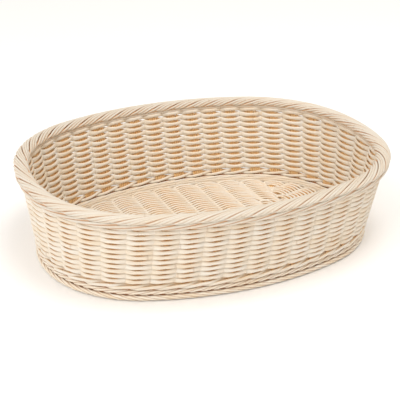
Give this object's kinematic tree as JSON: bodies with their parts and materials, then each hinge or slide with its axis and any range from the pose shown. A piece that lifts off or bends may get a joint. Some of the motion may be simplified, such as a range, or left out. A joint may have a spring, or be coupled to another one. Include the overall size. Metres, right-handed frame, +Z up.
{
  "type": "wicker basket",
  "caption": "Low oval pet bed basket twined from pale cane, with outward-leaning walls, a thick rolled border, a braided foot and a woven base.",
  "frame": {"origin": "middle of the foot's underside, on the surface the basket stands on", "axes": "+X along the basket's length, +Y across it towards the back, +Z up"},
  "size_m": [0.5596, 0.4566, 0.1445],
  "materials": {
    "foot_cane": "natural peeled cane, unlacquered satin",
    "wale_cane": "natural peeled cane, unlacquered satin",
    "side_cane": "natural peeled cane, unlacquered satin",
    "border_cane": "natural peeled cane, unlacquered satin",
    "stake_cane": "natural peeled cane, unlacquered satin",
    "base_cane": "natural peeled cane, unlacquered satin"
  },
  "bodies": {
    "root": {"foot_braid_outer": "foot_cane", "foot_braid_inner": "foot_cane", "foot_braid_top": "foot_cane", "foot_wale": "wale_cane", "side_course_01": "side_cane", "side_course_02": "side_cane", "side_course_03": "side_cane", "side_course_04": "side_cane", "side_course_05": "side_cane", "side_course_06": "side_cane", "side_course_07": "side_cane", "side_course_08": "side_cane", "side_course_09": "side_cane", "side_course_10": "side_cane", "top_wale_1": "wale_cane", "top_wale_2": "wale_cane", "border_top": "border_cane", "border_outer": "border_cane", "border_inner": "border_cane", "border_under_outer": "border_cane", "border_under_inner": "border_cane", "stakes_front_left": "stake_cane", "stakes_front_right": "stake_cane", "stakes_right": "stake_cane", "stakes_back_right": "stake_cane", "stakes_back_left": "stake_cane", "stakes_left": "stake_cane", "base_cross_ribs": "stake_cane", "base_end_ribs_left": "stake_cane", "base_end_ribs_right": "stake_cane", "base_corner_ribs": "stake_cane", "base_middle_canes": "base_cane", "base_rings_01": "base_cane", "base_rings_02": "base_cane", "base_rings_03": "base_cane", "base_rings_04": "base_cane", "base_rings_05": "base_cane", "base_rings_06": "base_cane", "base_rings_07": "base_cane", "base_rings_08": "base_cane", "base_rings_09": "base_cane", "base_rings_10": "base_cane"}
  },
  "joints": []
}
